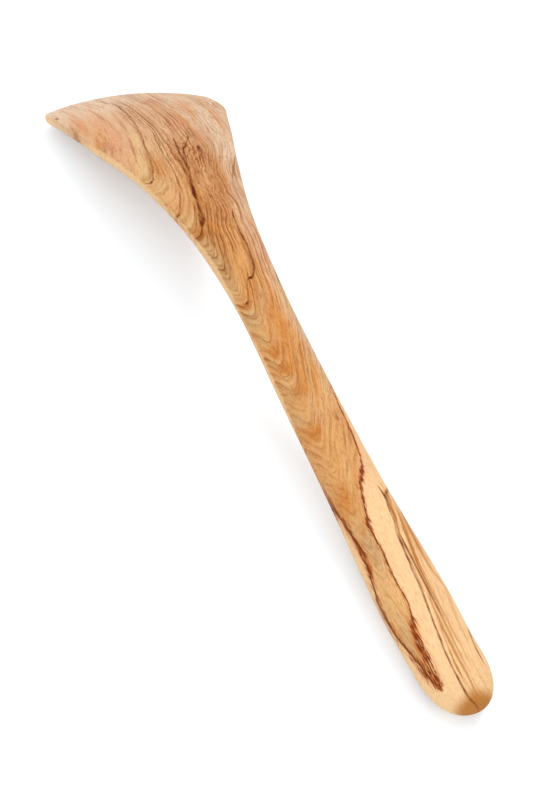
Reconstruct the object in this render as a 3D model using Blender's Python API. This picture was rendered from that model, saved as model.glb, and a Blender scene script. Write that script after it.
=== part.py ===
"""A carved olive-wood turner, modelled as the one billet that it is cut from.

It lies as it rests on a table, the rounded back of its blade up. The flat underside of the
handle and the middle of the blade's front edge touch the plane z = 0. +Y runs from the butt to
the blade and +X is the turner's right. Sizes are in millimetres until the mesh is made.
"""

import bmesh
import bpy
import numpy as np

MM = 0.001

LENGTH = 300.0  # along the billet, from the butt to the middle of the front edge

# Stations along the billet, and what the carver cuts it to at each of them.
STATION = (0, 15, 45, 90, 135, 170, 205, 235, 265, 285, LENGTH)
HALF_WIDTH = (13.3, 12.0, 12.2, 10.2, 9.4, 9.2, 12.1, 17.6, 24.6, 29.3, 33.8)
SWAY = (0.5, 0.0, 0.1, -0.1, -0.2, 0, 0, 0, 0, 0, 0)  # of the hand-cut centre line to the right
CENTRE_HEIGHT = (9.4, 8.3, 8.2, 13.2, 20.2, 26.4, 29.2, 26.4, 16.2, 8.0, 1.3)
MIDDLE_THICKNESS = (17.0, 17.2, 17.0, 14.8, 12.8, 11.4, 9.6, 7.6, 5.6, 4.6, 3.8)
EDGE_THICKNESS = (17.0, 17.2, 17.0, 14.8, 12.0, 9.5, 6.5, 4.6, 4.0, 3.8, 3.6)
SQUARENESS = (0, 0, 0, 0, 0, 0.15, 0.5, 0.85, 1, 1, 1)  # 0 is an oval section, 1 a flat blade's
SKEW = (0, 0, 0, 0, 0, 0.03, 0.08, 0.15, 0.21, 0.25, 0.28)  # forward run of the left side, per mm
BOW = (0, 0, 0, 0, 0, 0, 0.5, 3.5, 7.2, 9.0, 10.2)  # how far the middle leads the left side
BOW_ON_RIGHT = 1.4  # the right side falls back this many times as far

BUTT_ROUND = 20.0  # length of the rounded butt
ARRIS_RADIUS = 0.9  # of the blade's long edges
LEFT_CORNER_RADIUS = 3.5
RIGHT_CORNER_RADIUS = 15.0
BEVEL_LENGTH = 4.0  # of the thinned strip along the blade's front edge
BEVEL_DROP = 1.0
OVAL_POWER = 2.2  # 2 would make the handle's section an ellipse

QUARTER = 9  # points round a quarter of a section
AROUND = 4 * QUARTER
CORNER_POINTS = 3  # of a quarter's points, those from the side's middle to the top of the arris
BUTT_RINGS = 7
BODY_STEP = 6.5
FRONT_RINGS = (14, 11, 8.5, 6.2, 4, 2.6, 1.4, 0.6, 0)  # distances back from the front edge

WOOD_COLOUR = (0.66, 0.39, 0.18, 1.0)
WOOD_ROUGHNESS = 0.5


def along(values, at):
    """The smooth curve through a row of station values: cubic spans with three-point slopes."""
    knots = np.array(STATION, float)
    values = np.array(values, float)
    span = np.diff(knots)
    rise = np.diff(values) / span
    slope = np.empty(len(knots))
    slope[1:-1] = (rise[:-1] * span[1:] + rise[1:] * span[:-1]) / (span[1:] + span[:-1])
    slope[0] = 1.5 * rise[0] - 0.5 * slope[1]
    slope[-1] = 1.5 * rise[-1] - 0.5 * slope[-2]
    i = np.clip(np.searchsorted(knots, at, side="right") - 1, 0, len(span) - 1)
    t = (at - knots[i]) / span[i]
    start = (1 + 2 * t) * (1 - t) ** 2 * values[i] + t * (1 - t) ** 2 * span[i] * slope[i]
    end = t**2 * (3 - 2 * t) * values[i + 1] - t**2 * (1 - t) * span[i] * slope[i + 1]
    return start + end


def ring_stations():
    """Where the rings stand: close together in the rounded butt and at the front edge."""
    quarter_turn = np.linspace(0, np.pi / 2, BUTT_RINGS + 1)[1:]
    butt = BUTT_ROUND * (1 - np.cos(quarter_turn))
    front = LENGTH - np.array(FRONT_RINGS, float)
    count = round((front[0] - butt[-1]) / BODY_STEP)
    body = np.linspace(butt[-1], front[0], count + 1)[1:-1]
    return np.concatenate([butt, body, front])


def rounding(distance, radius):
    """What a quarter circle takes off, this far from the end that it rounds."""
    q = np.clip(1 - distance / radius, 0, 1)
    return radius * (1 - np.sqrt(1 - q**2))


def oval_quarter(width, thickness):
    """A quarter of the handle's section, from its right side to its top."""
    angle = np.linspace(0, np.pi / 2, QUARTER + 1)
    across = width * np.cos(angle) ** (2 / OVAL_POWER)
    up = thickness / 2 * np.sin(angle) ** (2 / OVAL_POWER)
    return across, up


def blade_quarter(width, middle, edge):
    """A quarter of the blade's section: the side wall, the rounded arris and the crowned face."""
    radius = min(ARRIS_RADIUS, 0.45 * edge)
    turn = np.linspace(0, np.pi / 2, CORNER_POINTS)
    face = np.linspace(1, 0, QUARTER - CORNER_POINTS + 1)[1:]
    across = np.concatenate([[width], width - radius * (1 - np.cos(turn)), (width - radius) * face])
    crown = (middle - edge) / 2 * (1 - face**2)
    up = np.concatenate([[0], edge / 2 - radius * (1 - np.sin(turn)), edge / 2 + crown])
    return across, up


def full_section(across, up):
    """The four quarters from one, going round from the right side over the top."""
    across = np.concatenate([across, -across[-2::-1], -across[1:], across[-2:0:-1]])
    up = np.concatenate([up, up[-2::-1], -up[1:], -up[-2:0:-1]])
    return across, up


def section_at(station):
    """The section's points at a station, as distances across and up from its middle."""
    width = along(HALF_WIDTH, station)
    middle = along(MIDDLE_THICKNESS, station)
    edge = along(EDGE_THICKNESS, station)
    blend = np.clip(along(SQUARENESS, station), 0, 1)
    oval = full_section(*oval_quarter(width, middle))
    blade = full_section(*blade_quarter(width, middle, edge))
    across = (1 - blend) * oval[0] + blend * blade[0]
    up = (1 - blend) * oval[1] + blend * blade[1]

    butt = np.sqrt(1 - np.clip(1 - station / BUTT_ROUND, 0, 1) ** 2)
    from_front = LENGTH - station
    right = 1 - rounding(from_front, RIGHT_CORNER_RADIUS) / width
    left = 1 - rounding(from_front, LEFT_CORNER_RADIUS) / width
    across = across * butt * np.where(across > 0, right, left)

    bevel = BEVEL_DROP * np.clip(1 - from_front / BEVEL_LENGTH, 0, 1)
    nose = rounding(from_front, ARRIS_RADIUS)
    up = up * butt
    up = np.where(up > 0, np.maximum(up - bevel - nose, 0.2), np.minimum(up + nose, -0.2))
    up[[0, AROUND // 2]] = 0
    return across, up


def bent_point_rows(station):
    """The ring at a station, bent to the arched centre line and swept to the oblique front."""
    across, up = section_at(station)
    share = across / along(HALF_WIDTH, station)
    bow = along(BOW, station) * np.where(share > 0, BOW_ON_RIGHT, 1)
    run = station - bow * share**2
    slope = along(CENTRE_HEIGHT, run + 0.5) - along(CENTRE_HEIGHT, run - 0.5)
    tilt = np.arctan(slope)
    y = run - along(SKEW, station) * across - up * np.sin(tilt)
    z = along(CENTRE_HEIGHT, run) + up * np.cos(tilt)
    return np.stack([across + along(SWAY, station), y, z], axis=1)


def turner_rings():
    """All the rings, with the underside planed flat where it would pass below the table."""
    rings = np.array([bent_point_rows(station) for station in ring_stations()])
    rings[:, :, 2] = np.maximum(rings[:, :, 2], 0)
    return rings


def turner_mesh(name):
    rings = turner_rings()
    butt_tip = np.array([0, 0, along(CENTRE_HEIGHT, 0.0)])
    corners = np.concatenate([rings.reshape(-1, 3), [butt_tip]])
    low, high = corners.min(axis=0), corners.max(axis=0)
    corners -= [(low[0] + high[0]) / 2, (low[1] + high[1]) / 2, 0]

    bm = bmesh.new()
    points = [bm.verts.new(corner * MM) for corner in corners]
    tip = points.pop()
    rows = [points[i : i + AROUND] for i in range(0, len(points), AROUND)]
    for near, far in zip(rows[:-1], rows[1:]):
        for j in range(AROUND):
            k = (j + 1) % AROUND
            bm.faces.new((near[j], near[k], far[k], far[j]))
    for j in range(AROUND):
        bm.faces.new((tip, rows[0][(j + 1) % AROUND], rows[0][j]))
    close_front(bm, rows[-1])
    bmesh.ops.recalc_face_normals(bm, faces=bm.faces)
    mesh = bpy.data.meshes.new(name)
    bm.to_mesh(mesh)
    bm.free()
    mesh.shade_smooth()
    return mesh


def close_front(bm, ring):
    """Joins the last ring's upper points to the lower points straight below them."""
    half = AROUND // 2
    bm.faces.new((ring[0], ring[1], ring[-1]))
    for j in range(1, half - 1):
        bm.faces.new((ring[j], ring[j + 1], ring[-j - 1], ring[-j]))
    bm.faces.new((ring[half - 1], ring[half], ring[half + 1]))


def wood_material():
    material = bpy.data.materials.new("olive_wood")
    material.use_nodes = True
    shader = material.node_tree.nodes["Principled BSDF"]
    shader.inputs["Base Color"].default_value = WOOD_COLOUR
    shader.inputs["Roughness"].default_value = WOOD_ROUGHNESS
    shader.inputs["Metallic"].default_value = 0.0
    return material


def main():
    for obj in list(bpy.data.objects):
        bpy.data.objects.remove(obj)
    turner = bpy.data.objects.new("carved_turner", turner_mesh("carved_turner"))
    turner.data.materials.append(wood_material())
    bpy.context.scene.collection.objects.link(turner)


main()
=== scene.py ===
"""The looks of a carved olive-wood turner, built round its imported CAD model.

The CAD solid is replaced by a finer surface of the same shape, lofted from the same station
tables, with the slight unevenness of hand carving. One solid, procedural olive-wood material runs
through it: growth layers, sapwood and heartwood, dark veins, fibres and pores. Lengths are in
millimetres until a mesh or an object is made.
"""

import math

import bmesh
import bpy
import numpy as np
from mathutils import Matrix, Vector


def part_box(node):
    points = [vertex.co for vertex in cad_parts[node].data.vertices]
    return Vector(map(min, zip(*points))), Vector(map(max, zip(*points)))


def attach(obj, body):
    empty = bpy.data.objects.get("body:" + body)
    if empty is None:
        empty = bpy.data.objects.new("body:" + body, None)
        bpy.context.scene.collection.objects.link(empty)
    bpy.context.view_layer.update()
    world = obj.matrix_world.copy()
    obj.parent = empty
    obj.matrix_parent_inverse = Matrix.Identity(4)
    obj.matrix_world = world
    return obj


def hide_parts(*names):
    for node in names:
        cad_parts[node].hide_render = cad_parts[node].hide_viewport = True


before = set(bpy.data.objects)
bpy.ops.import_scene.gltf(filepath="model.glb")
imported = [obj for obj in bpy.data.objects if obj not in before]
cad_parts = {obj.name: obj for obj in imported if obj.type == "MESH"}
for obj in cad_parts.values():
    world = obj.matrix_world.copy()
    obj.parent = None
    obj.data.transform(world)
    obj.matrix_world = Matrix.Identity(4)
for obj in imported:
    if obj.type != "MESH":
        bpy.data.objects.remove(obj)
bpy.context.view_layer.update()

MM = 0.001
NODE = "carved_turner"

# ---------------------------------------------------------------- the billet's shape, as in CAD

LENGTH = 300.0
STATION = (0, 15, 45, 90, 135, 170, 205, 235, 265, 285, LENGTH)
HALF_WIDTH = (13.3, 12.0, 12.2, 10.2, 9.4, 9.2, 12.1, 17.6, 24.6, 29.3, 33.8)
SWAY = (0.5, 0.0, 0.1, -0.1, -0.2, 0, 0, 0, 0, 0, 0)
CENTRE_HEIGHT = (9.4, 8.3, 8.2, 13.2, 20.2, 26.4, 29.2, 26.4, 16.2, 8.0, 1.3)
MIDDLE_THICKNESS = (17.0, 17.2, 17.0, 14.8, 12.8, 11.4, 9.6, 7.6, 5.6, 4.6, 3.8)
EDGE_THICKNESS = (17.0, 17.2, 17.0, 14.8, 12.0, 9.5, 6.5, 4.6, 4.0, 3.8, 3.6)
SQUARENESS = (0, 0, 0, 0, 0, 0.15, 0.5, 0.85, 1, 1, 1)
SKEW = (0, 0, 0, 0, 0, 0.03, 0.08, 0.15, 0.21, 0.25, 0.28)
BOW = (0, 0, 0, 0, 0, 0, 0.5, 3.5, 7.2, 9.0, 10.2)
BOW_ON_RIGHT = 1.4

BUTT_ROUND = 20.0
ARRIS_RADIUS = 0.9
LEFT_CORNER_RADIUS = 3.5
RIGHT_CORNER_RADIUS = 15.0
BEVEL_LENGTH = 4.0
BEVEL_DROP = 1.0
OVAL_POWER = 2.2
LEAST_HALF_THICKNESS = 0.2
HAND_WAVE = 0.055  # the carving's waves add up to about twice this

QUARTER = 24
AROUND = 4 * QUARTER
CORNER_POINTS = 8
BUTT_RINGS = 22
BODY_STEP = 1.3
FRONT_STEP = 0.8
FRONT_LENGTH = 16.0
NOSE_RINGS = (3.2, 2.5, 1.9, 1.4, 1.0, 0.7, 0.45, 0.25, 0.1, 0)


def along(values, at):
    """The smooth curve through a row of station values: cubic spans with three-point slopes."""
    knots = np.array(STATION, float)
    values = np.array(values, float)
    span = np.diff(knots)
    rise = np.diff(values) / span
    slope = np.empty(len(knots))
    slope[1:-1] = (rise[:-1] * span[1:] + rise[1:] * span[:-1]) / (span[1:] + span[:-1])
    slope[0] = 1.5 * rise[0] - 0.5 * slope[1]
    slope[-1] = 1.5 * rise[-1] - 0.5 * slope[-2]
    i = np.clip(np.searchsorted(knots, at, side="right") - 1, 0, len(span) - 1)
    t = (at - knots[i]) / span[i]
    start = (1 + 2 * t) * (1 - t) ** 2 * values[i] + t * (1 - t) ** 2 * span[i] * slope[i]
    end = t**2 * (3 - 2 * t) * values[i + 1] - t**2 * (1 - t) * span[i] * slope[i + 1]
    return start + end


def ring_stations():
    """Where the rings stand: close together in the rounded butt and at the front edge."""
    quarter_turn = np.linspace(0, np.pi / 2, BUTT_RINGS + 1)[1:]
    butt = BUTT_ROUND * (1 - np.cos(quarter_turn))
    front = LENGTH - FRONT_LENGTH
    body = np.arange(butt[-1] + BODY_STEP, front, BODY_STEP)
    slope = np.arange(front, LENGTH - NOSE_RINGS[0] - FRONT_STEP / 2, FRONT_STEP)
    nose = LENGTH - np.array(NOSE_RINGS)
    return np.concatenate([butt, body, slope, nose])


def rounding(distance, radius):
    """What a quarter circle takes off, this far from the end that it rounds."""
    q = np.clip(1 - distance / radius, 0, 1)
    return radius * (1 - np.sqrt(1 - q**2))


def oval_quarter(width, thickness):
    """A quarter of the handle's section, from its right side to its top."""
    angle = np.linspace(0, np.pi / 2, QUARTER + 1)
    across = width * np.cos(angle) ** (2 / OVAL_POWER)
    up = thickness / 2 * np.sin(angle) ** (2 / OVAL_POWER)
    return across, up


def blade_quarter(width, middle, edge):
    """A quarter of the blade's section: the side wall, the rounded arris and the crowned face."""
    radius = min(ARRIS_RADIUS, 0.45 * edge)
    turn = np.linspace(0, np.pi / 2, CORNER_POINTS)
    face = np.linspace(1, 0, QUARTER - CORNER_POINTS + 1)[1:]
    across = np.concatenate([[width], width - radius * (1 - np.cos(turn)), (width - radius) * face])
    crown = (middle - edge) / 2 * (1 - face**2)
    up = np.concatenate([[0], edge / 2 - radius * (1 - np.sin(turn)), edge / 2 + crown])
    return across, up


def full_section(across, up):
    """The four quarters from one, going round from the right side over the top."""
    across = np.concatenate([across, -across[-2::-1], -across[1:], across[-2:0:-1]])
    up = np.concatenate([up, up[-2::-1], -up[1:], -up[-2:0:-1]])
    return across, up


def section_at(station):
    """The section's points at a station, as distances across and up from its middle."""
    width = along(HALF_WIDTH, station)
    middle = along(MIDDLE_THICKNESS, station)
    edge = along(EDGE_THICKNESS, station)
    blend = np.clip(along(SQUARENESS, station), 0, 1)
    oval = full_section(*oval_quarter(width, middle))
    blade = full_section(*blade_quarter(width, middle, edge))
    across = (1 - blend) * oval[0] + blend * blade[0]
    up = (1 - blend) * oval[1] + blend * blade[1]

    butt = np.sqrt(1 - np.clip(1 - station / BUTT_ROUND, 0, 1) ** 2)
    from_front = LENGTH - station
    right = 1 - rounding(from_front, RIGHT_CORNER_RADIUS) / width
    left = 1 - rounding(from_front, LEFT_CORNER_RADIUS) / width
    across = across * butt * np.where(across > 0, right, left)

    bevel = BEVEL_DROP * np.clip(1 - from_front / BEVEL_LENGTH, 0, 1)
    nose = rounding(from_front, ARRIS_RADIUS)
    up = up * butt
    top = np.maximum(up - bevel - nose, LEAST_HALF_THICKNESS)
    bottom = np.minimum(up + nose, -LEAST_HALF_THICKNESS)
    up = np.where(up > 0, top, bottom)
    up[[0, AROUND // 2]] = 0
    return across, up


def carved_unevenness(station, share):
    """How far the carver's hand strays from the true section, in mm, smooth along and across."""
    long_waves = np.sin(station / 9.5 + 1.7 * share) + 0.7 * np.sin(station / 5.3 - 2.3 * share + 1)
    short_waves = 0.35 * np.sin(station / 2.9 + 4.1 * share + 2)
    return HAND_WAVE * (long_waves + short_waves)


def bent_point_rows(station):
    """The ring at a station, bent to the arched centre line and swept to the oblique front."""
    across, up = section_at(station)
    share = across / along(HALF_WIDTH, station)
    up = up + np.sign(up) * carved_unevenness(station, share) * np.minimum(1, np.abs(up))
    bow = along(BOW, station) * np.where(share > 0, BOW_ON_RIGHT, 1)
    run = station - bow * share**2
    slope = along(CENTRE_HEIGHT, run + 0.5) - along(CENTRE_HEIGHT, run - 0.5)
    tilt = np.arctan(slope)
    y = run - along(SKEW, station) * across - up * np.sin(tilt)
    z = along(CENTRE_HEIGHT, run) + up * np.cos(tilt)
    return np.stack([across + along(SWAY, station), y, z], axis=1)


def turner_mesh(name):
    """The closed surface, its box's middle put where the CAD node's is."""
    rings = np.array([bent_point_rows(station) for station in ring_stations()])
    rings[:, :, 2] = np.maximum(rings[:, :, 2], 0)
    butt_tip = np.array([0, 0, along(CENTRE_HEIGHT, 0.0)])
    corners = np.concatenate([rings.reshape(-1, 3), [butt_tip]]) * MM
    box = np.array(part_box(NODE))
    shift = box.mean(axis=0) - (corners.min(axis=0) + corners.max(axis=0)) / 2
    corners[:, :2] += shift[:2]

    bm = bmesh.new()
    points = [bm.verts.new(corner) for corner in corners]
    tip = points.pop()
    rows = [points[i : i + AROUND] for i in range(0, len(points), AROUND)]
    for near, far in zip(rows[:-1], rows[1:]):
        for j in range(AROUND):
            k = (j + 1) % AROUND
            bm.faces.new((near[j], near[k], far[k], far[j]))
    for j in range(AROUND):
        bm.faces.new((tip, rows[0][(j + 1) % AROUND], rows[0][j]))
    close_front(bm, rows[-1])
    bmesh.ops.recalc_face_normals(bm, faces=bm.faces)
    mesh = bpy.data.meshes.new(name)
    bm.to_mesh(mesh)
    bm.free()
    mesh.shade_smooth()
    return mesh


def close_front(bm, ring):
    """Joins the last ring's upper points to the lower points straight below them."""
    half = AROUND // 2
    bm.faces.new((ring[0], ring[1], ring[-1]))
    for j in range(1, half - 1):
        bm.faces.new((ring[j], ring[j + 1], ring[-j - 1], ring[-j]))
    bm.faces.new((ring[half - 1], ring[half], ring[half + 1]))


# ---------------------------------------------------------------- a short way to write node graphs


class Graph:
    """Builds a material's nodes. Every method takes sockets or plain numbers and gives a socket."""

    def __init__(self, name):
        self.material = bpy.data.materials.new(name)
        self.material.use_nodes = True
        self.tree = self.material.node_tree
        self.shader = self.tree.nodes["Principled BSDF"]
        place = self.tree.nodes.new("ShaderNodeTexCoord").outputs["Object"]
        self.place = self.vector_math("MULTIPLY", place, (1 / MM, 1 / MM, 1 / MM))
        split = self.tree.nodes.new("ShaderNodeSeparateXYZ")
        self.tree.links.new(self.place, split.inputs[0])
        self.x, self.y, self.z = split.outputs

    def put(self, socket, value):
        if isinstance(value, bpy.types.NodeSocket):
            self.tree.links.new(value, socket)
        else:
            socket.default_value = value

    def math(self, operation, a, b=0.0, c=0.0, clamp=False):
        node = self.tree.nodes.new("ShaderNodeMath")
        node.operation = operation
        node.use_clamp = clamp
        for socket, value in zip(node.inputs, (a, b, c)):
            self.put(socket, value)
        return node.outputs[0]

    def vector_math(self, operation, a, b):
        node = self.tree.nodes.new("ShaderNodeVectorMath")
        node.operation = operation
        self.put(node.inputs[0], a)
        self.put(node.inputs[1], b)
        return node.outputs[0]

    def vector(self, x, y, z):
        node = self.tree.nodes.new("ShaderNodeCombineXYZ")
        for socket, value in zip(node.inputs, (x, y, z)):
            self.put(socket, value)
        return node.outputs[0]

    def add(self, *values):
        total = values[0]
        for value in values[1:]:
            total = self.math("ADD", total, value)
        return total

    def times(self, a, b):
        return self.math("MULTIPLY", a, b)

    def noise(self, vector, detail=2.0, roughness=0.5, size=1.0):
        """Smooth noise with its middle at 0, and within size / 2 of it."""
        node = self.tree.nodes.new("ShaderNodeTexNoise")
        node.inputs["Scale"].default_value = 1.0
        node.inputs["Detail"].default_value = detail
        node.inputs["Roughness"].default_value = roughness
        self.tree.links.new(vector, node.inputs["Vector"])
        centred = self.math("SUBTRACT", node.outputs[0], 0.5)
        return self.times(centred, size)

    def grain_noise(self, across, length, detail=2.0, roughness=0.5, size=1.0, shift=0.0):
        """Noise drawn out along the billet: patches this many mm across, and this many long."""
        stretched = self.vector_math("MULTIPLY", self.place, (1 / across, 1 / length, 1 / across))
        moved = self.vector_math("ADD", stretched, (shift, shift, shift))
        return self.noise(moved, detail, roughness, size)

    def step(self, value, start, end):
        """0 below start and 1 above end, smooth between. An end below start turns it round."""
        node = self.tree.nodes.new("ShaderNodeMapRange")
        node.interpolation_type = "SMOOTHSTEP"
        self.put(node.inputs["Value"], value)
        node.inputs["From Min"].default_value = start
        node.inputs["From Max"].default_value = end
        return node.outputs[0]

    def curve(self, at, points):
        """The smooth curve through given (at, value) points, level beyond its two ends."""
        points = sorted(points)
        low, high = points[0][0], points[-1][0]
        values = [value for _, value in points]
        least, most = min(values), max(values)
        spread = max(most - least, 1e-6)
        node = self.tree.nodes.new("ShaderNodeFloatCurve")
        line = node.mapping.curves[0]
        while len(line.points) < len(points):
            line.points.new(0.5, 0.5)
        for point, (place, value) in zip(line.points, points):
            point.location = ((place - low) / (high - low), (value - least) / spread)
        node.mapping.update()
        share = self.math("DIVIDE", self.math("SUBTRACT", at, low), high - low, clamp=True)
        self.tree.links.new(share, node.inputs["Value"])
        return self.math("MULTIPLY_ADD", node.outputs[0], spread, least)

    def colours(self, at, stops):
        """A run of colours over a number, each stop given as (number, colour)."""
        low, high = stops[0][0], stops[-1][0]
        node = self.tree.nodes.new("ShaderNodeValToRGB")
        ramp = node.color_ramp
        while len(ramp.elements) < len(stops):
            ramp.elements.new(0.5)
        for element, (place, colour) in zip(ramp.elements, stops):
            element.position = (place - low) / (high - low)
            element.color = (*colour, 1)
        share = self.math("DIVIDE", self.math("SUBTRACT", at, low), high - low, clamp=True)
        self.tree.links.new(share, node.inputs[0])
        return node.outputs[0]

    def mix(self, factor, a, b, blend="MIX"):
        """Colour a, turned into b where the factor is 1."""
        node = self.tree.nodes.new("ShaderNodeMix")
        node.data_type = "RGBA"
        node.blend_type = blend
        self.put(node.inputs[0], factor)
        for socket, value in ((node.inputs[6], a), (node.inputs[7], b)):
            self.put(socket, (*value, 1) if isinstance(value, tuple) else value)
        return node.outputs[2]

    def line(self, along_axis, across_axis, points, softness):
        """A vein through given (along, across, half width) points, as a mask of 1 at most.

        It ends VEIN_REACH half widths from its middle and fades over the last softness mm, so a
        vein thinner than that stays under 1."""
        centre = self.curve(along_axis, [(a, b) for a, b, _ in points])
        reach = self.curve(along_axis, [(a, VEIN_REACH * w) for a, _, w in points])
        distance = self.math("ABSOLUTE", self.math("SUBTRACT", across_axis, centre))
        return self.math("DIVIDE", self.math("SUBTRACT", reach, distance), softness, clamp=True)

    def most(self, masks):
        """The largest of several masks at each point."""
        total = masks[0]
        for mask in masks[1:]:
            total = self.math("MAXIMUM", total, mask)
        return total


# ---------------------------------------------------------------- the olive wood

# Colours, in linear light.
# Heartwood colour along the billet; its greyish pale stops towards the blade's front edge are painted
# sheen.
HEART_ALONG_AND_FRONT_SHEEN = (
    (-150, (0.56, 0.339, 0.147)),
    (-100, (0.56, 0.339, 0.147)),
    (-62, (0.50, 0.270, 0.104)),
    (0, (0.50, 0.254, 0.089)),
    (40, (0.48, 0.244, 0.087)),
    (75, (0.48, 0.265, 0.114)),
    (105, (0.48, 0.297, 0.164)),
    (130, (0.48, 0.307, 0.185)),
    (141, (0.50, 0.371, 0.262)),
    (151, (0.52, 0.408, 0.327)),
)
CENTRE_BROWN = (0.44, 0.222, 0.093)
# Painted sheen: a pale greyish veil on the right side of the neck and blade and its front corner.
RIGHT_SHEEN = (0.51, 0.385, 0.275)
PINK = (0.48, 0.240, 0.125)
ORANGE = (0.42, 0.160, 0.030)
STRAW = (0.50, 0.330, 0.160)
GREY_TAN = (0.40, 0.255, 0.125)
SAPWOOD = (0.61, 0.402, 0.212)
SAPWOOD_PINK = (0.55, 0.340, 0.180)
SAP_STREAK = (0.33, 0.125, 0.024)
RED_BROWN = (0.14, 0.020, 0.001)
RED_ORANGE = (0.40, 0.085, 0.006)
VEIN_BROWN = (0.17, 0.048, 0.005)
VEIN_DARK = (0.07, 0.008, 0.001)

# What the darkest part of a growth line, a fibre and a pore multiplies the wood by.
LINE_BROWN = (0.57, 0.36, 0.19)
FIBRE_TINT = (0.80, 0.68, 0.56)
PORE_TINT = (0.66, 0.50, 0.36)

# How far fibres, pores and veins stand out, as shares of BUMP_HEIGHT.
FIBRE_BUMP = 0.5
PORE_BUMP = -0.6
VEIN_BUMP = -0.4
BUMP_STRENGTH = 0.25
BUMP_HEIGHT = 0.00008  # in metres
WOOD_ROUGHNESS = 0.5
WOOD_GLOSS = 0.06  # the shader's specular level

# Where the painted sheen on the right side starts: (along, across).
RIGHT_SHEEN_START = ((-45, 8), (-20, 5.5), (20, 4), (50, 5), (75, 10), (95, 11), (120, 10), (150, 4))
# Painted light on the lit left edge lies left of this line: (along, across).
LEFT_LIT_RIM = (
    (-150, -14), (-60, -14), (-40, -8.5), (20, -7.2), (38, -7.8), (50, -9.4), (65, -12.0), (83, -15.4),
    (100, -19.2), (115, -23.2), (130, -27.2), (146, -30.5),
)
VEIN_REACH = 1.6  # how far out a vein's soft edge ends, in half widths

# The axis of the nested, butt-pointing figures that the growth layers draw: (along, across).
FIGURE_AXIS = (
    (-150, -4), (-70, -5), (-40, -3.7), (-20, -3.7), (0, -4.2), (17, -5), (35, -6.3), (50, -8.7),
    (62, -11), (82, -13.8), (100, -17), (120, -21.5), (135, -27), (151, -37),
)
# How steep a layer's two arms are, in mm along for each mm across, and how wide its turn is.
FIGURE_STEEPNESS = (
    (-150, 8.0), (-90, 8.0), (-70, 4.5), (-50, 3.2), (10, 3.0), (30, 3.5), (60, 4.0), (150, 4.0),
)
FIGURE_ROUND = ((-150, 1.5), (-60, 1.5), (0, 1.8), (42, 2.0), (54, 5.0), (70, 8.0), (150, 8.0))
# How much closer together the layers run on the right side, where the neck narrows.
FIGURE_SQUEEZE = ((45, 1.0), (58, 1.25), (68, 1.4), (80, 1.2), (95, 1.0), (115, 0.95), (135, 1.1))

# Dark veins in the blade and the neck: (along, across, half width).
BLADE_VEINS = (
    (
        (104, 4.6, 0), (100, 3.6, 0.5), (96, 3.0, 0.5), (92, 2.2, 0.5), (86, 1.6, 0.45),
        (80, 0.5, 0.4), (76, -0.4, 0.5), (72, -1.4, 0.7), (68, -2.2, 0.7), (64, -2.8, 0.45),
        (60, -3.7, 0.6), (55.5, -4.7, 1.0), (53, -5.7, 0.6), (51, -7.0, 0.4), (49.5, -8.4, 0),
    ),
    (
        (107, 10.4, 0), (102, 9.6, 0.45), (98, 7.6, 0.4), (95, 5.4, 0.8), (93, 4.1, 0.5),
        (88, 2.9, 0.4), (84, 1.6, 0.4), (79, 0.6, 0.4), (75, -0.4, 0),
    ),
    (
        (92, 0.6, 0), (88, 0.2, 0.35), (84, -0.1, 0.4), (80, -0.4, 0.35), (76, -0.8, 0),
    ),
    (
        (94, 10.0, 0), (91, 9.5, 0.7), (88, 8.8, 0.5), (85, 7.2, 0.4), (81, 6.2, 0),
    ),
    (
        (56, 7.4, 0), (53, 6.4, 0.45), (49, 5.8, 0.45), (45, 5.3, 0.45), (41, 5.2, 0.4),
        (37, 4.9, 0.4), (33, 4.2, 0.5), (31, 4.0, 0.6), (28, 3.2, 0.5), (26, 2.2, 0.5),
        (24.5, 0.8, 0),
    ),
    (
        (25, -0.4, 0), (23, -1.8, 0.4), (21, -2.4, 0.4), (19, -3.2, 0.4), (17.5, -4.0, 0.35),
        (16.6, -4.6, 0),
    ),
)

# Brown veins, fainter than those; the first of them bounds the blade's plain left side.
FAINT_VEINS = (
    (
        (148, -9, 0), (143, -6.5, 0.3), (140, -4.9, 0.45), (135, -4.0, 0.5), (128, -3.7, 0.5),
        (122, -3.9, 0.45), (115, -4.9, 0.35), (110, -5.6, 0.35), (105, -6.8, 0.45),
        (100, -7.8, 0.45), (95, -8.7, 0.4), (90, -9.6, 0.45), (86, -11.0, 0.45), (83, -12.6, 0),
    ),
    (
        (96, -3.4, 0), (88, -3.6, 0.3), (80, -4.4, 0.35), (75, -5.4, 0.4), (71, -6.8, 0.45),
        (67.5, -8.2, 0.45), (64.5, -9.6, 0.5), (62.6, -10.8, 0),
    ),
    (
        (68, -4.0, 0), (62, -5.0, 0.3), (58, -6.0, 0.35), (55, -7.2, 0.4), (53, -8.4, 0),
    ),
    (
        (62, -3.0, 0), (56, -3.4, 0.3), (50, -4.2, 0.35), (45, -5.1, 0.4), (42.5, -5.6, 0.4),
        (40.6, -6.6, 0),
    ),
    (
        (56, -2.6, 0), (48, -3.4, 0.3), (41, -4.1, 0.35), (37.5, -4.4, 0.4), (35.5, -5.4, 0),
    ),
    (
        (100, 23, 0), (92, 21.6, 0.2), (85, 19.4, 0.25), (80, 17.8, 0.3), (76, 16.4, 0.35),
        (72, 14.6, 0.4), (68, 13.0, 0.35), (62, 12.1, 0.35), (56, 11.4, 0.3), (51, 10.2, 0),
    ),
)

# Where a vein turns and runs across the billet: (across, along, half width).
BLADE_TURNS = (
    ((-10.4, 51, 0), (-9.2, 49.6, 0.5), (-8.2, 49.6, 0.6), (-7.0, 50.8, 0.5), (-6.0, 52.4, 0)),
    ((-1.6, 23.5, 0), (-0.4, 25.0, 0.5), (0.8, 24.7, 0.7), (2.0, 25.6, 0.6), (3.0, 27.2, 0)),
    ((-6.8, 20, 0), (-5.6, 17.2, 0.4), (-4.6, 16.6, 0.6), (-3.6, 17.8, 0.5), (-2.8, 19.8, 0)),
)

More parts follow.
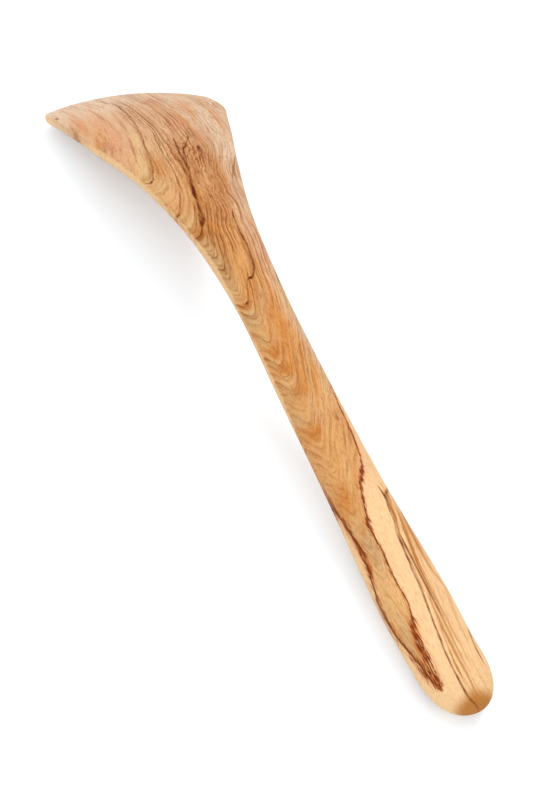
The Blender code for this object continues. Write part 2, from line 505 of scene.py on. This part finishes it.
# The same for the faint veins.
FAINT_TURNS = (
    ((-16.4, 85.5, 0), (-15.2, 83.0, 0.5), (-13.8, 81.8, 0.7), (-12.4, 82.8, 0.7), (-11.2, 85.4, 0)),
    ((-14.2, 66, 0), (-12.6, 63.4, 0.4), (-11.0, 62.0, 0.6), (-9.8, 64.0, 0.5), (-8.6, 67, 0)),
    ((-12.0, 57.5, 0), (-10.6, 54.0, 0.4), (-9.2, 52.3, 0.5), (-8.0, 53.4, 0.4), (-7.0, 56, 0)),
    ((-9.4, 45, 0), (-8.4, 41.2, 0.4), (-7.3, 40.0, 0.5), (-6.3, 41.0, 0.4), (-5.4, 43, 0)),
    ((-8.8, 40, 0), (-7.5, 36.0, 0.4), (-6.3, 34.7, 0.5), (-5.4, 35.6, 0.4), (-4.6, 37.5, 0)),
    ((-8.6, 33, 0), (-7.2, 30.0, 0.3), (-6.0, 28.6, 0.4), (-4.8, 30.0, 0.3), (-3.8, 33, 0)),
    ((6.0, 52, 0), (7.0, 54.4, 0.3), (8.2, 55.3, 0.4), (9.4, 55.0, 0.3), (10.6, 52.4, 0)),
)

# Veins that show only as a warm streak: (along, across, half width).
WARM_STREAKS = (
    ((57, -4.8, 0), (54, -3.6, 0.7), (51, -2.4, 0.8), (48, -1.5, 0.6), (45, -0.9, 0)),
    ((8, 3.2, 0), (0, 2.5, 0.9), (-4, 1.7, 0.9), (-9, 0.4, 0.7), (-14, -1.0, 0)),
    ((-12, 7.0, 0), (-16, 6.0, 0.7), (-20, 4.5, 0.7), (-27, 2.0, 0.5), (-33, 0.4, 0)),
    ((-14, 1.6, 0), (-18, 0.8, 0.7), (-22, 0.0, 0.7), (-26, -1.2, 0)),
    ((128, 12.3, 0), (118, 12.6, 0.6), (110, 13.4, 0.6), (100, 13.0, 0.5), (88, 12.3, 0)),
    ((132, 17.4, 0), (123, 18.0, 0.5), (114, 17.2, 0.6), (106, 16.6, 0.5), (98, 17.2, 0)),
    ((130, 24.0, 0), (115, 25.0, 0.6), (107, 24.4, 0.6), (100, 23.2, 0.4), (92, 22.0, 0)),
)

# Soft patches: (across, along, half width, half length, strength).
ORANGE_PATCHES = (
    (-22.0, 113.5, 1.2, 2.6, 1.0),
    (-20.4, 117, 0.9, 3.0, 1.0),
    (-19.0, 121, 0.6, 2.6, 0.8),
    (-22.4, 128, 1.6, 8, 0.4),
    (-1.2, 66, 1.6, 8, 0.8),
    (-8.0, 90, 3.0, 7, 0.6),
    (-3.0, -5, 3.4, 3, 0.9),
    (-2.6, -12, 3.4, 4, 0.9),
    (-2.0, -22, 3.0, 3, 0.6),
    (-3.8, -38, 3.4, 3, 0.7),
    (-5.5, -66, 3.6, 7, 0.7),
    (0.0, 16, 2.0, 5, 0.5),
    (-6.6, 51, 3.6, 3, 0.7),
    (3.0, 3, 2.0, 6, 0.5),
)
PINK_PATCHES = (
    (-17, 118, 6, 18, 0.9),
    (-22, 131, 3.5, 10, 0.6),
    (-8, 68, 3, 6, 0.4),
    (9, 82, 4, 4, 0.5),
    (10, 113, 5, 8, 0.7),
    (17, 124, 4, 9, 0.5),
    (8, 133, 4, 5, 0.5),
    (14, 97, 3, 6, 0.5),
    (10, 36, 3, 20, 0.5),
)
STRAW_PATCHES = (
    (-13.0, 90, 4.0, 9, 0.9),
    # This patch on the neck's left side is partly the wood's straw tone and partly painted light, lifting
    # the side that the lamps leave darker.
    (-7.0, 37, 3.4, 17, 1.0),
    (-5.0, -20, 4.0, 7, 0.5),
    (0.0, -32, 4.0, 8, 0.4),
    (-8.0, 107, 3.0, 8, 0.8),
    (-10.5, 76, 3.5, 6, 0.5),
    (-8.0, 58, 2.8, 4, 0.7),
    (-7.0, 46, 3.0, 5, 0.8),
    (-5.0, 10, 3.0, 6, 0.7),
    (-5.0, 2, 2.4, 3, 0.5),
    (-5.0, -8, 2.2, 2.5, 0.5),
    (-6.0, -31, 2.2, 4, 0.6),
    (7.0, 78, 2.5, 3, 0.5),
)
GREY_PATCHES = (
    (-5.0, -84, 3.0, 10, 0.75),
    (-6.5, -124, 3.2, 14, 0.75),
    (-6.0, 12, 2.4, 3, 0.4),
    (-6.0, -31, 1.8, 3, 0.4),
    (1.5, 16, 2.6, 4, 0.25),
)

SAPWOOD_PATCHES = ((10.8, -82, 2.4, 16, 0.45),)
# A small knot in the blade's left corner, written as the patches are.
KNOT = ((-28.5, 141, 0.8, 1.0, 0.8),)

# The heartwood's two borders in the handle: (along, across, half width of the dark fringe).
RIGHT_BORDER = (
    (-18, 11.0, 0), (-33, 8.6, 0.3), (-40, 8.4, 0.3), (-48, 7.5, 0.3), (-55, 6.1, 0.3),
    (-58, 4.6, 0.6), (-61, 3.0, 0.6), (-64, 1.5, 0.5), (-68, 0.3, 0.4), (-73, -1.0, 0.4),
    (-77, -1.9, 0.6), (-82, -2.2, 0.3), (-88, -2.1, 0.3), (-92, -2.4, 0.4), (-100, -2.8, 0.3),
    (-106, -2.6, 0.3), (-111, -3.2, 0.3), (-115, -4.3, 0.7), (-121, -5.6, 0.8), (-129, -6.2, 0.8),
    (-136, -6.7, 0.8), (-142, -6.5, 0),
)
LEFT_BORDER = (
    (-46, -9.2, 0), (-54, -9.0, 0.3), (-60, -8.9, 0.3), (-66, -8.7, 0.3), (-72, -8.3, 0.4),
    (-80, -8.0, 0.5), (-88, -7.9, 0.6), (-93, -8.9, 0.5), (-98, -9.6, 0.3), (-106, -10.3, 0.3),
    (-114, -10.2, 0.3), (-122, -9.6, 0.3), (-128, -8.9, 0.5), (-135, -8.1, 0.6), (-142, -6.7, 0),
)
BORDERS = (RIGHT_BORDER, LEFT_BORDER)
# The line that the veins of the handle's sapwood run beside: (along, across, half width).
SAP_LINE = (
    (-64, 7.0, 0), (-69, 7.9, 0.5), (-74, 7.3, 0.5), (-79, 6.7, 0.4), (-84, 5.4, 0.5),
    (-90, 4.9, 0.5), (-98, 4.2, 0.45), (-104, 3.7, 0.5), (-110, 2.9, 0.45), (-118, 1.7, 0.4),
    (-126, 0.6, 0.45), (-134, -0.3, 0.4), (-141, -0.4, 0.45), (-146, 0.0, 0.5),
    (-150, 1.6, 0.4), (-152, 2.5, 0),
)
# All the veins of the handle's sapwood, and one in the heartwood beside it.
HANDLE_VEINS = (
    SAP_LINE,
    ((-31, 7.0, 0), (-34, 6.4, 0.2), (-36, 5.8, 0.5), (-38, 5.5, 0.25), (-44, 4.4, 0.15), (-50, 3.3, 0)),
    (
        (-79, 7.0, 0), (-87, 6.1, 0.4), (-95, 5.9, 0.45), (-103, 5.7, 0.4), (-109, 5.5, 0.4),
        (-115, 5.3, 0.35), (-119, 5.0, 0),
    ),
    ((-88, 7.4, 0), (-94, 6.9, 0.25), (-102, 6.5, 0.3), (-110, 6.3, 0.25), (-117, 5.9, 0)),
    (
        (-122, 12.6, 0), (-126, 11.7, 0.4), (-130, 10.9, 0.4), (-135, 10.5, 0.35), (-141, 10.7, 0),
    ),
    (
        (-64, 11.6, 0), (-66.5, 10.2, 0.6), (-68.5, 8.8, 0.7), (-71, 8.0, 0.5), (-74, 7.6, 0),
    ),
)
# Softer brown streaks in the handle's sapwood.
HANDLE_STREAKS = (
    (
        (-84, 6.2, 0), (-95, 5.9, 0.5), (-109, 5.5, 0.6), (-115, 5.3, 0.5), (-121, 4.9, 0.5),
        (-128, 4.4, 0.4), (-135, 4.1, 0.3), (-141, 4.5, 0),
    ),
    ((-70, 10.2, 0), (-80, 9.4, 0.5), (-88, 8.2, 0.7), (-96, 6.9, 0.6), (-106, 6.3, 0.4), (-114, 6.0, 0)),
    ((-72, 12.0, 0), (-84, 10.8, 0.6), (-94, 10.4, 0.5), (-104, 11.6, 0.4), (-112, 12.6, 0)),
    ((-98, 7.6, 0), (-108, 6.8, 0.4), (-120, 6.2, 0.4), (-132, 5.8, 0.3), (-142, 5.4, 0)),
    ((-106, 4.6, 0), (-116, 4.0, 0.5), (-126, 3.2, 0.6), (-138, 2.8, 0.5), (-148, 3.8, 0)),
    ((-118, 3.0, 0), (-128, 1.8, 0.3), (-136, 1.0, 0.3), (-143, 1.4, 0.3), (-150, 2.6, 0)),
)


def growth_layers(g):
    """A number that is the same all through one growth layer, in mm along the figure's axis."""
    drift = g.grain_noise(10, 30, detail=1, size=3.6)
    ripple = g.grain_noise(2.4, 9, detail=2, size=1.0, shift=5)
    flutter = g.grain_noise(0.5, 2.0, detail=2, size=0.3, shift=9)
    middle = g.step(g.math("ABSOLUTE", g.math("SUBTRACT", g.x, 6.0)), 8, 3)
    middle = g.times(middle, g.times(g.step(g.y, 56, 68), g.step(g.y, 108, 96)))
    curl = g.times(g.grain_noise(3.0, 6.5, detail=2, size=5, shift=15), middle)
    warp = g.add(drift, ripple, flutter, curl)

    squeeze = g.curve(g.y, FIGURE_SQUEEZE)
    beyond = g.math("MAXIMUM", g.x, 0.0)
    across = g.add(g.math("MINIMUM", g.x, 0.0), g.times(beyond, squeeze), warp)
    aside = g.math("SUBTRACT", across, g.curve(g.y, FIGURE_AXIS))
    turn = g.curve(g.y, FIGURE_ROUND)
    arm = g.math("SQRT", g.add(g.times(aside, aside), g.times(turn, turn)))
    arm = g.times(g.math("SUBTRACT", arm, turn), g.curve(g.y, FIGURE_STEEPNESS))
    return g.math("SUBTRACT", g.y, arm)


def saw_lines(g, layers, spacing, start, shift):
    """Lines one spacing apart, uneven in place: each darkens slowly, then ends sharply."""
    count = g.math("DIVIDE", layers, spacing)
    uneven = g.noise(g.vector(g.times(count, 0.45), g.times(g.y, 0.01), shift), detail=1, size=2.6)
    phase = g.math("FRACT", g.add(count, uneven, shift))
    return g.times(g.step(phase, start, 0.93), g.step(phase, 1.0, 0.94))


def growth_lines(g, layers):
    """Masks of broad bands, lines, hair lines and flecks, each of them stronger in some places."""
    slow = g.times(g.y, 0.015)
    deep = g.times(g.z, 0.03)
    bands = g.noise(g.vector(g.times(layers, 0.07), slow, deep), detail=2)
    bands = g.step(bands, -0.12, 0.16)
    bold = g.noise(g.vector(g.times(layers, 0.06), g.times(g.y, 0.05), 3.0), detail=1)
    lines = g.times(saw_lines(g, layers, 5.5, 0.3, 0.0), g.step(bold, -0.16, 0.08))
    faint = g.noise(g.vector(g.times(layers, 0.16), g.times(g.y, 0.08), 7.0), detail=1)
    hairs = g.times(saw_lines(g, layers, 2.2, 0.3, 0.37), g.step(faint, -0.14, 0.1))
    flecks = g.vector(g.times(layers, 0.6), g.times(g.y, 0.16), g.times(g.z, 0.2))
    flecks = g.step(g.noise(flecks, detail=3, roughness=0.6), -0.02, 0.2)
    return bands, lines, hairs, flecks


def middle_line(g, points):
    """How far across a vein's middle is, all along the billet."""
    return g.curve(g.y, [(a, b) for a, b, _ in points])


def patches(g, shifted, rows):
    """Where soft patches lie, as one mask, at a place shifted by noise."""
    masks = []
    for x, y, half_width, half_length, strength in rows:
        scale = (1 / half_width, 1 / half_length, 0)
        offset = g.vector_math("MULTIPLY", g.vector_math("SUBTRACT", shifted, (x, y, 0)), scale)
        node = g.tree.nodes.new("ShaderNodeVectorMath")
        node.operation = "LENGTH"
        g.put(node.inputs[0], offset)
        masks.append(g.times(g.step(node.outputs["Value"], 1.5, 0.2), strength))
    return g.most(masks)


def heartwood_base(g, shifted):
    """The heartwood's colours before its lines, with painted sheen on the right side and towards the
    front edge, and where the blade's brown centre is.
    """
    # the heartwood's colour along the billet, with painted sheen towards the front edge
    wood = g.colours(g.y, HEART_ALONG_AND_FRONT_SHEEN)
    centre = g.curve(g.y, ((46, 1.0), (62, 4.0), (80, 4.5), (104, 6.0)))
    off_centre = g.math("ABSOLUTE", g.math("SUBTRACT", g.x, centre))
    ends = g.times(g.step(g.y, 40, 62), g.step(g.y, 112, 92))
    brown = g.times(g.step(off_centre, 7.5, 2.5), ends)
    wood = g.mix(g.times(brown, 0.85), wood, CENTRE_BROWN)
    # painted sheen on the right side, where the lamps' reflection would fall
    right = g.step(g.math("SUBTRACT", g.x, g.curve(g.y, RIGHT_SHEEN_START)), 0, 6)
    wood = g.mix(g.times(right, 0.9), wood, RIGHT_SHEEN)
    for rows, colour in (
        (PINK_PATCHES, PINK),
        (STRAW_PATCHES, STRAW),
        (ORANGE_PATCHES, ORANGE),
        (GREY_PATCHES, GREY_TAN),
    ):
        wood = g.mix(patches(g, shifted, rows), wood, colour)
    blotches = g.step(g.grain_noise(5, 16, detail=3, shift=21), 0.0, 0.2)
    return g.mix(g.times(blotches, 0.22), wood, PINK), brown


def layer_tints(g, layers, wood, handle):
    """The wood with some of its layers turned straw and some orange, most in the handle."""
    tints = g.noise(g.vector(g.times(layers, 0.11), g.times(g.y, 0.03), 9.0), detail=2)
    tinted = g.math("MULTIPLY_ADD", handle, 0.5, 0.2)
    wood = g.mix(g.times(g.step(tints, 0.03, 0.18), tinted), wood, STRAW)
    return g.mix(g.times(g.step(tints, -0.05, -0.2), g.times(tinted, 0.8)), wood, ORANGE)


def line_boldness(g, plain, handle):
    """How much of their strength the growth lines have, place by place."""
    first_dark = middle_line(g, BLADE_VEINS[0])
    nested = g.times(g.step(g.math("SUBTRACT", first_dark, g.x), 1.0, 3.0), g.step(g.y, 26, 36))
    nested = g.times(nested, g.step(g.y, 92, 82))
    far_right = g.times(g.step(g.x, 9, 15), g.step(g.y, 74, 86))
    front = g.step(g.y, 126, 146)
    lower_handle = g.step(g.y, -38, -50)
    tongue = g.step(g.y, -84, -94)
    fainter = (
        (plain, 0.95),
        (nested, 0.5),
        (far_right, 0.5),
        (front, 0.4),
        (handle, 0.52),
        (lower_handle, 0.82),
        (tongue, 0.85),
    )
    return g.math("SUBTRACT", 1.0, g.most([g.times(mask, share) for mask, share in fainter]))


def heartwood(g, layers, shifted):
    """The orange-brown heartwood's colour, banded along its layers."""
    wood, brown = heartwood_base(g, shifted)
    first_vein = middle_line(g, FAINT_VEINS[0])
    plain = g.times(g.step(g.math("SUBTRACT", first_vein, g.x), 0.3, 2.0), g.step(g.y, 83, 87))
    handle = g.step(g.y, 30, 8)
    wood = layer_tints(g, layers, wood, handle)
    bold = line_boldness(g, plain, handle)

    bands, lines, hairs, flecks = growth_lines(g, layers)
    for mask, strength in ((bands, 0.4), (lines, 0.95), (hairs, 0.6)):
        wood = g.mix(g.times(g.times(mask, strength), bold), wood, LINE_BROWN, blend="MULTIPLY")
    dashes = g.vector(g.times(layers, 0.25), g.times(g.y, 0.3), g.times(g.x, 0.35))
    dashes = g.step(g.noise(dashes, detail=3, roughness=0.6), 0.03, 0.16)
    wood = g.mix(g.times(dashes, g.times(brown, 0.6)), wood, VEIN_BROWN)
    flecks = g.times(flecks, g.math("MULTIPLY_ADD", plain, -0.4, 0.55))
    wood = g.mix(flecks, wood, LINE_BROWN, blend="MULTIPLY")

    beside = g.math("SUBTRACT", g.x, first_vein)
    streaks = g.vector(g.times(beside, 0.55), g.times(g.y, 0.05), 4.0)
    streaks = g.step(g.noise(streaks, detail=3, roughness=0.6), -0.02, 0.2)
    return g.mix(g.times(streaks, g.times(plain, 0.65)), wood, LINE_BROWN, blend="MULTIPLY")


def sapwood(g, calm_x, shifted):
    """The cream sapwood's colour, with brown streaks beside the handle's long vein."""
    beside = g.math("SUBTRACT", calm_x, middle_line(g, SAP_LINE))
    sap = g.mix(g.step(g.y, -72, -50), SAPWOOD, SAPWOOD_PINK)
    tan = g.times(g.step(beside, 0.0, 4.0), g.step(g.y, -62, -72))
    sap = g.mix(g.times(tan, 0.1), sap, SAP_STREAK)
    fine = g.noise(g.vector(g.times(beside, 1.1), g.times(g.y, 0.03), 2.0), detail=3, roughness=0.6)
    near = g.math("MULTIPLY_ADD", g.step(beside, 5.0, 2.0), 0.7, 0.25)
    near = g.math("MULTIPLY_ADD", g.step(beside, -0.3, 0.4), near, 0.06)
    near = g.times(near, g.step(g.y, -60, -72))
    sap = g.mix(g.times(g.step(fine, 0.02, 0.10), near), sap, SAP_STREAK)
    fleck = g.grain_noise(0.5, 5, detail=3, roughness=0.6, shift=61)
    sap = g.mix(g.times(g.step(fleck, 0.0, 0.25), 0.14), sap, LINE_BROWN, blend="MULTIPLY")
    streaks = g.most([g.line(g.y, calm_x, points, 0.9) for points in HANDLE_STREAKS])
    sap = g.mix(g.times(streaks, 0.9), sap, SAP_STREAK)
    sap = g.mix(patches(g, shifted, SAPWOOD_PATCHES), sap, SAP_STREAK)
    from_tip = g.math("ABSOLUTE", g.math("SUBTRACT", calm_x, 2.0))
    end_grain = g.step(g.add(g.y, g.times(from_tip, 0.35)), -143.5, -148.5)
    return g.mix(g.times(end_grain, 0.95), sap, SAP_STREAK)


def sapwood_mask(g, rough_x):
    """1 where the handle's pale sapwood is, outside the heartwood's tongue."""
    right = g.math("SUBTRACT", rough_x, middle_line(g, RIGHT_BORDER))
    left = g.math("SUBTRACT", middle_line(g, LEFT_BORDER), rough_x)
    beyond_right = g.times(g.step(right, 0.0, 0.35), g.step(g.y, -16, -20))
    beyond_left = g.times(g.step(left, 0.0, 0.35), g.step(g.y, -44, -50))
    butt = g.step(g.y, -140.5, -143)
    return g.most([beyond_right, beyond_left, butt])


class Places:
    """Places across and along the billet, pushed about by noise so that what lies there is uneven."""

    def __init__(self, g):
        wander = g.grain_noise(1.6, 6, detail=3, size=0.9, shift=3)
        jitter = g.add(wander, g.grain_noise(0.4, 1.1, detail=2, size=0.6))
        self.rough_x = g.add(g.x, jitter)
        self.calm_x = g.add(g.x, g.times(jitter, 0.35))
        self.rough_y = g.add(g.y, g.times(jitter, 2.0))
        self.ragged_x = g.add(g.x, g.grain_noise(0.4, 4.0, detail=3, size=2.6, shift=31))
        sideways = g.grain_noise(2.6, 7, detail=4, roughness=0.6, size=6, shift=12)
        self.shifted = g.vector(g.add(g.x, sideways), g.add(g.y, g.times(sideways, 1.5)), 0.0)


def with_lit_rim_and_streaks(g, places, wood):
    """The wood with painted light along the left rim, the knot and the warm streaks on it."""
    # painted light: the lit left side wall and edge, in the pale sapwood colour
    lit_rim = g.step(g.math("SUBTRACT", g.curve(g.y, LEFT_LIT_RIM), places.rough_x), 0, 0.7)
    wood = g.mix(g.times(lit_rim, 0.85), wood, SAPWOOD)
    knot = patches(g, g.vector(places.rough_x, g.y, 0.0), KNOT)
    wood = g.mix(knot, wood, VEIN_BROWN)
    warm = g.most([g.line(g.y, places.rough_x, points, 0.8) for points in WARM_STREAKS])
    return g.mix(g.times(warm, 0.5), wood, ORANGE)


def with_borders(g, places, wood):
    """The wood with a red-brown line on each border of the heartwood, and its orange fringe."""
    wider = [[(a, b, 1.7 * w) for a, b, w in points] for points in BORDERS]
    fringe = g.most([g.line(g.y, places.ragged_x, points, 1.0) for points in wider])
    flicker = g.step(g.grain_noise(0.35, 4, detail=2, shift=39), -0.12, 0.06)
    wood = g.mix(g.times(fringe, g.times(flicker, 0.85)), wood, RED_ORANGE)
    lines = g.most([g.line(g.y, places.ragged_x, points, 0.5) for points in BORDERS])
    patchy = g.step(g.grain_noise(0.45, 4.0, detail=2, shift=37), -0.14, 0.04)
    return g.mix(g.times(lines, patchy), wood, RED_BROWN)


def vein_darkness(g, places):
    """How dark the veins are: 0 off them, and over 1 in the darkest stretches of the boldest."""
    veins = [g.line(g.y, places.rough_x, points, 0.75) for points in BLADE_VEINS]
    veins += [g.line(places.rough_x, places.rough_y, points, 1.0) for points in BLADE_TURNS]
    cores = [[(a, b, min(w, 0.22)) for a, b, w in points] for points in BORDERS]
    veins += [g.line(g.y, places.calm_x, points, 0.35) for points in cores]
    faint = [g.line(g.y, places.calm_x, points, 0.75) for points in FAINT_VEINS]
    faint += [g.line(places.calm_x, places.rough_y, points, 1.0) for points in FAINT_TURNS]
    faint += [g.line(g.y, places.calm_x, points, 0.6) for points in HANDLE_VEINS]
    veins.append(g.times(g.most(faint), 0.74))
    broken = g.math("MULTIPLY_ADD", g.grain_noise(1.2, 5, detail=3, shift=17), 2.0, 0.95)
    return g.times(g.most(veins), broken)


def with_texture(g, wood, pale, fibre, pores):
    """The wood mottled, with dark fibres and pores. Pale wood has less mottle and fainter pores."""
    texture = g.math("MULTIPLY_ADD", pale, -0.75, 1.0)
    mottle = g.step(g.grain_noise(0.9, 2.2, detail=4, roughness=0.65, shift=71), 0.0, 0.25)
    wood = g.mix(g.times(mottle, g.times(texture, 0.4)), wood, LINE_BROWN, blend="MULTIPLY")
    wood = g.mix(g.step(fibre, -0.02, 0.22), wood, FIBRE_TINT, blend="MULTIPLY")
    return g.mix(g.times(pores, g.times(texture, 0.5)), wood, PORE_TINT, blend="MULTIPLY")


def set_surface(g, fibre, pores, dark):
    """The shader's roughness, gloss and bump: raised fibres, sunken pores and veins."""
    rough = g.math("MULTIPLY_ADD", fibre, 0.12, WOOD_ROUGHNESS)
    g.put(g.shader.inputs["Roughness"], g.math("MULTIPLY_ADD", dark, -0.06, rough))
    g.shader.inputs["Specular IOR Level"].default_value = WOOD_GLOSS
    height = g.add(g.times(fibre, FIBRE_BUMP), g.times(pores, PORE_BUMP), g.times(dark, VEIN_BUMP))
    bump = g.tree.nodes.new("ShaderNodeBump")
    bump.inputs["Strength"].default_value = BUMP_STRENGTH
    bump.inputs["Distance"].default_value = BUMP_HEIGHT
    g.put(bump.inputs["Height"], height)
    g.put(g.shader.inputs["Normal"], bump.outputs[0])


def olive_wood():
    """The one material: heartwood and sapwood, then veins, then fibres and pores."""
    g = Graph("olive_wood")
    places = Places(g)
    layers = growth_layers(g)
    pale = sapwood_mask(g, places.rough_x)
    wood = heartwood(g, layers, places.shifted)
    wood = g.mix(pale, wood, sapwood(g, places.calm_x, places.shifted))
    wood = with_lit_rim_and_streaks(g, places, wood)
    wood = with_borders(g, places, wood)

    dark = vein_darkness(g, places)
    wood = g.mix(g.step(dark, 0.0, 1.0), wood, VEIN_BROWN)
    wood = g.mix(g.step(dark, 0.7, 1.15), wood, VEIN_DARK)

    fibre = g.grain_noise(0.3, 3.0, detail=3, roughness=0.65, shift=41)
    pores = g.step(g.grain_noise(0.3, 1.8, detail=2, shift=51), 0.12, 0.26)
    wood = with_texture(g, wood, pale, fibre, pores)
    g.put(g.shader.inputs["Base Color"], wood)
    set_surface(g, fibre, pores, dark)
    return g.material


# ---------------------------------------------------------------- floor, light and camera

CAMERA_AZIMUTH = -24.58
CAMERA_ELEVATION = 55.39
CAMERA_DISTANCE = 0.8738
CAMERA_AIM = (-0.0110, -0.0169, 0.0155)
CAMERA_LENS = 111.1  # mm, as is the sensor's width
SENSOR_WIDTH = 36

FLOOR_WHITE = (0.85, 0.895, 0.925)
FLOOR_HALF = 3.0  # metres from the middle to each side
SKY_STRENGTH = 1.12
LIGHT_AIM = (0, 0, 0.015)


def white_floor():
    material = bpy.data.materials.new("white_paper")
    material.use_nodes = True
    shader = material.node_tree.nodes["Principled BSDF"]
    shader.inputs["Base Color"].default_value = (*FLOOR_WHITE, 1)
    shader.inputs["Roughness"].default_value = 0.9
    shader.inputs["Specular IOR Level"].default_value = 0.1
    mesh = bpy.data.meshes.new("floor")
    square = ((-1, -1), (1, -1), (1, 1), (-1, 1))
    corners = [(FLOOR_HALF * x, FLOOR_HALF * y, 0) for x, y in square]
    mesh.from_pydata(corners, [], [(0, 1, 2, 3)])
    mesh.materials.append(material)
    floor = bpy.data.objects.new("floor", mesh)
    bpy.context.scene.collection.objects.link(floor)


def aimed(obj, place, target):
    """Puts a light or the camera at a place, its -Z towards the target."""
    direction = np.array(target) - np.array(place)
    obj.location = place
    level = math.hypot(direction[0], direction[1])
    pitch = math.atan2(direction[2], level) + math.pi / 2
    yaw = math.atan2(direction[1], direction[0]) - math.pi / 2
    obj.rotation_euler = (pitch, 0, yaw)
    bpy.context.scene.collection.objects.link(obj)
    return obj


def from_angles(azimuth, elevation, distance, target):
    """The point seen from the target at these angles, as the camera's azimuth is counted."""
    turn, lift = math.radians(azimuth), math.radians(elevation)
    back = (math.sin(turn) * math.cos(lift), -math.cos(turn) * math.cos(lift), math.sin(lift))
    return tuple(t + distance * b for t, b in zip(target, back))


def soft_light(name, azimuth, elevation, distance, size, watts):
    light = bpy.data.lights.new(name, "AREA")
    light.shape = "DISK"
    light.size = size
    light.energy = watts
    place = from_angles(azimuth, elevation, distance, LIGHT_AIM)
    aimed(bpy.data.objects.new(name, light), place, LIGHT_AIM)


def studio():
    world = bpy.data.worlds.new("studio")
    world.use_nodes = True
    background = world.node_tree.nodes["Background"]
    background.inputs["Color"].default_value = (1, 1, 1, 1)
    background.inputs["Strength"].default_value = SKY_STRENGTH
    bpy.context.scene.world = world
    bpy.context.scene.view_settings.view_transform = "Standard"
    soft_light("key", azimuth=125, elevation=50, distance=1.6, size=0.8, watts=14.5)
    soft_light("fill", azimuth=-50, elevation=45, distance=1.8, size=1.2, watts=12)


def camera():
    data = bpy.data.cameras.new("camera")
    data.lens = CAMERA_LENS
    data.sensor_width = SENSOR_WIDTH
    place = from_angles(CAMERA_AZIMUTH, CAMERA_ELEVATION, CAMERA_DISTANCE, CAMERA_AIM)
    bpy.context.scene.camera = aimed(bpy.data.objects.new("camera", data), place, CAMERA_AIM)


def main():
    camera()
    white_floor()
    studio()
    turner = bpy.data.objects.new("turner_surface", turner_mesh("turner_surface"))
    turner.data.materials.append(olive_wood())
    bpy.context.scene.collection.objects.link(turner)
    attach(turner, "root")
    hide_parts(NODE)
    bpy.context.view_layer.update()


main()
